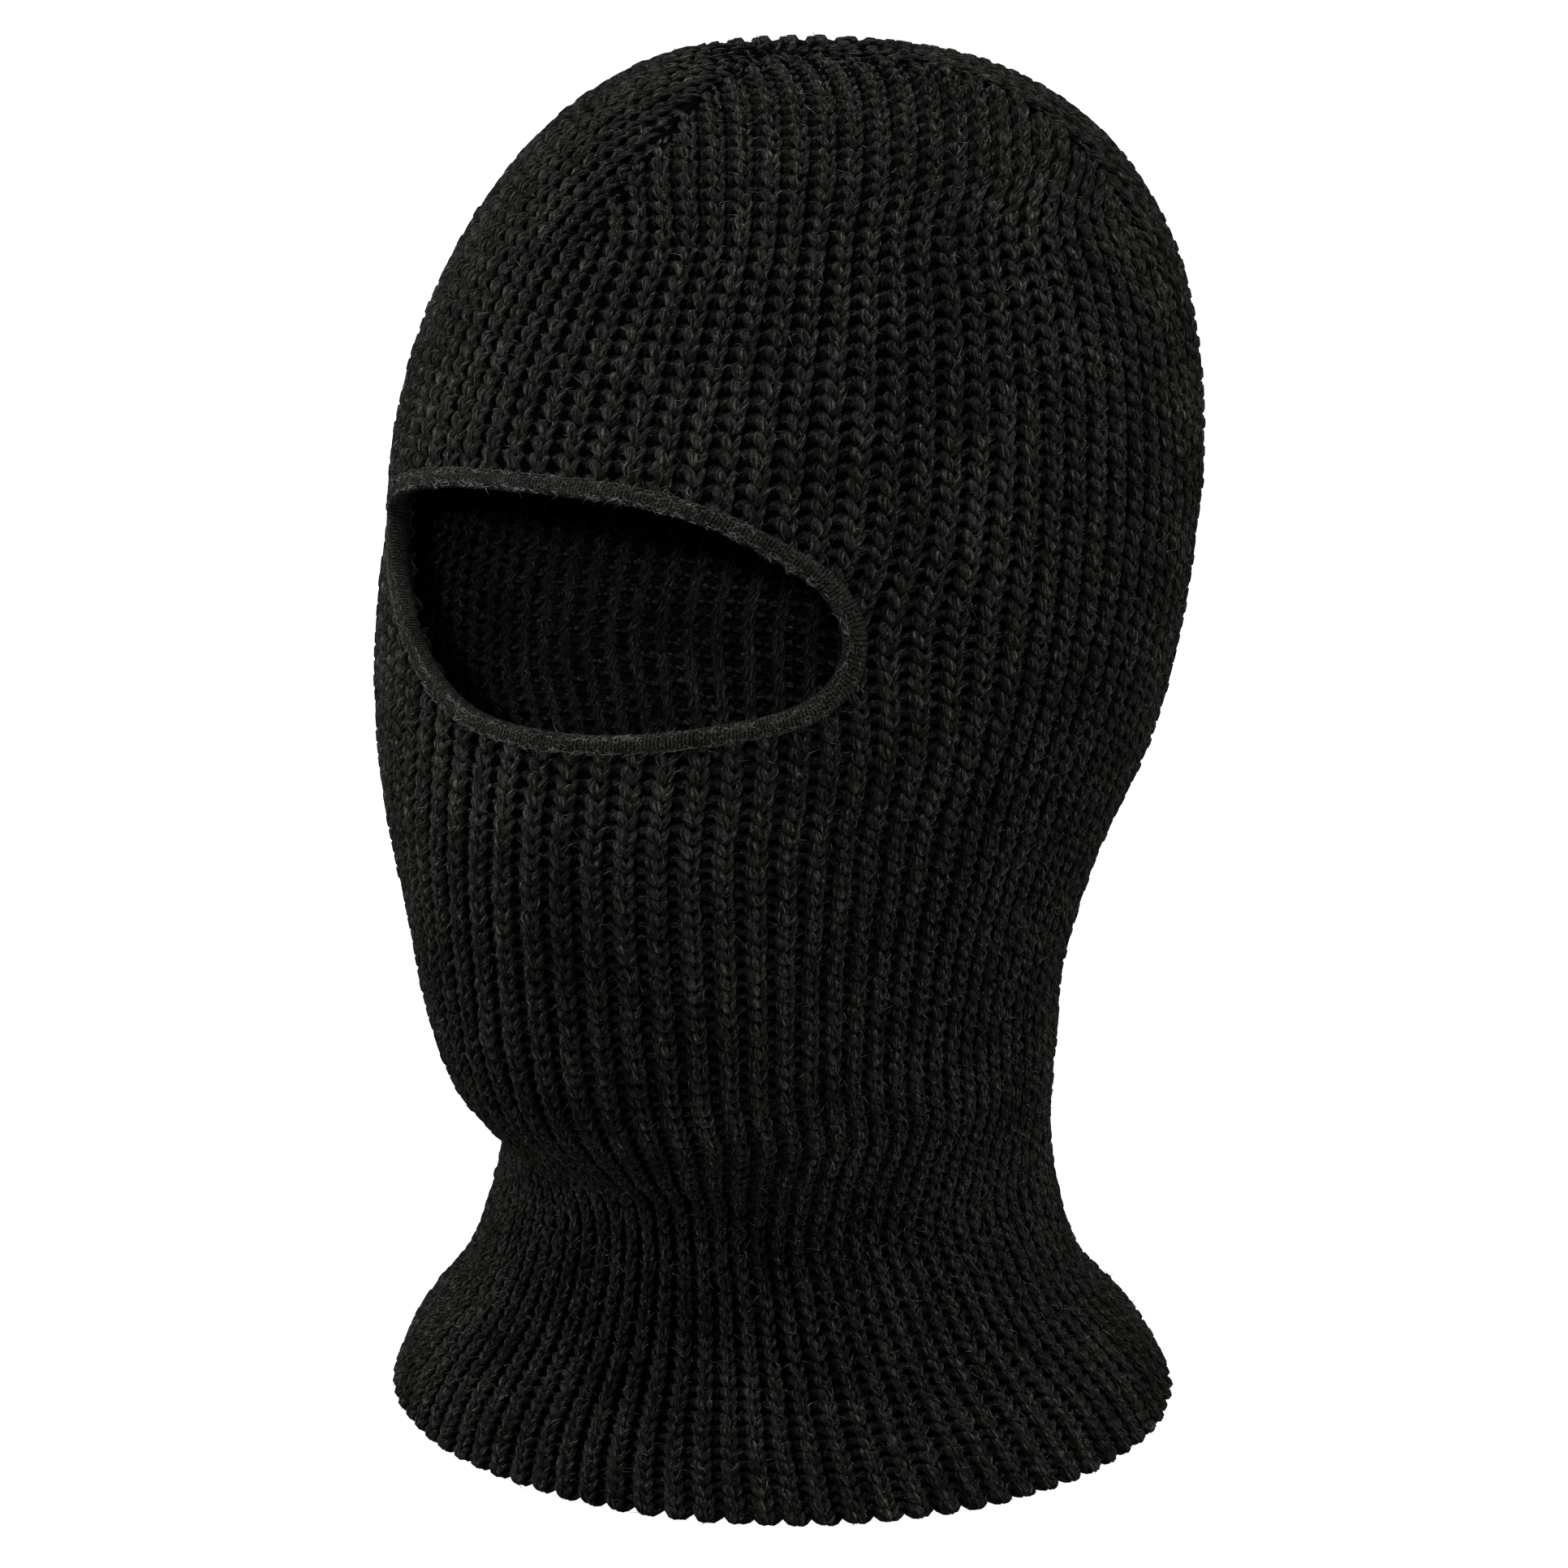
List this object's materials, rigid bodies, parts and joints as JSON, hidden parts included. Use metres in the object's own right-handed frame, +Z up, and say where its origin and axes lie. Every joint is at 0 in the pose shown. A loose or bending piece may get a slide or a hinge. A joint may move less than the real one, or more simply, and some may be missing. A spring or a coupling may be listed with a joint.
{
  "type": "balaclava",
  "caption": "Chunky rib-knit pull-on hood covering head, face and neck, with one wide eye opening bound in knit tape, a darted crown and a flared hem.",
  "frame": {"origin": "on the plane of the hem, under the middle of the hood's bounding box", "axes": "+Z up towards the crown; the face and eye opening look along -Y; +X is the wearer's left"},
  "size_m": [0.176, 0.2092, 0.2965],
  "materials": {
    "rib_knit": "matte acrylic yarn, thick rib knit",
    "binding_tape": "fine knit tape, folded",
    "sewing_thread": "polyester sewing thread",
    "seam_thread": "overlock thread and yarn",
    "label_satin": "blank woven satin",
    "label_thread": "polyester sewing thread"
  },
  "bodies": {
    "root": {"hood_panel": "rib_knit", "eye_binding": "binding_tape", "binding_outer_thread": "sewing_thread", "binding_inner_thread": "sewing_thread", "back_seam": "seam_thread", "front_crown_seam": "seam_thread", "left_crown_seam": "seam_thread", "right_crown_seam": "seam_thread", "crown_tack": "seam_thread", "care_label": "label_satin", "label_stitch": "label_thread"}
  },
  "joints": []
}
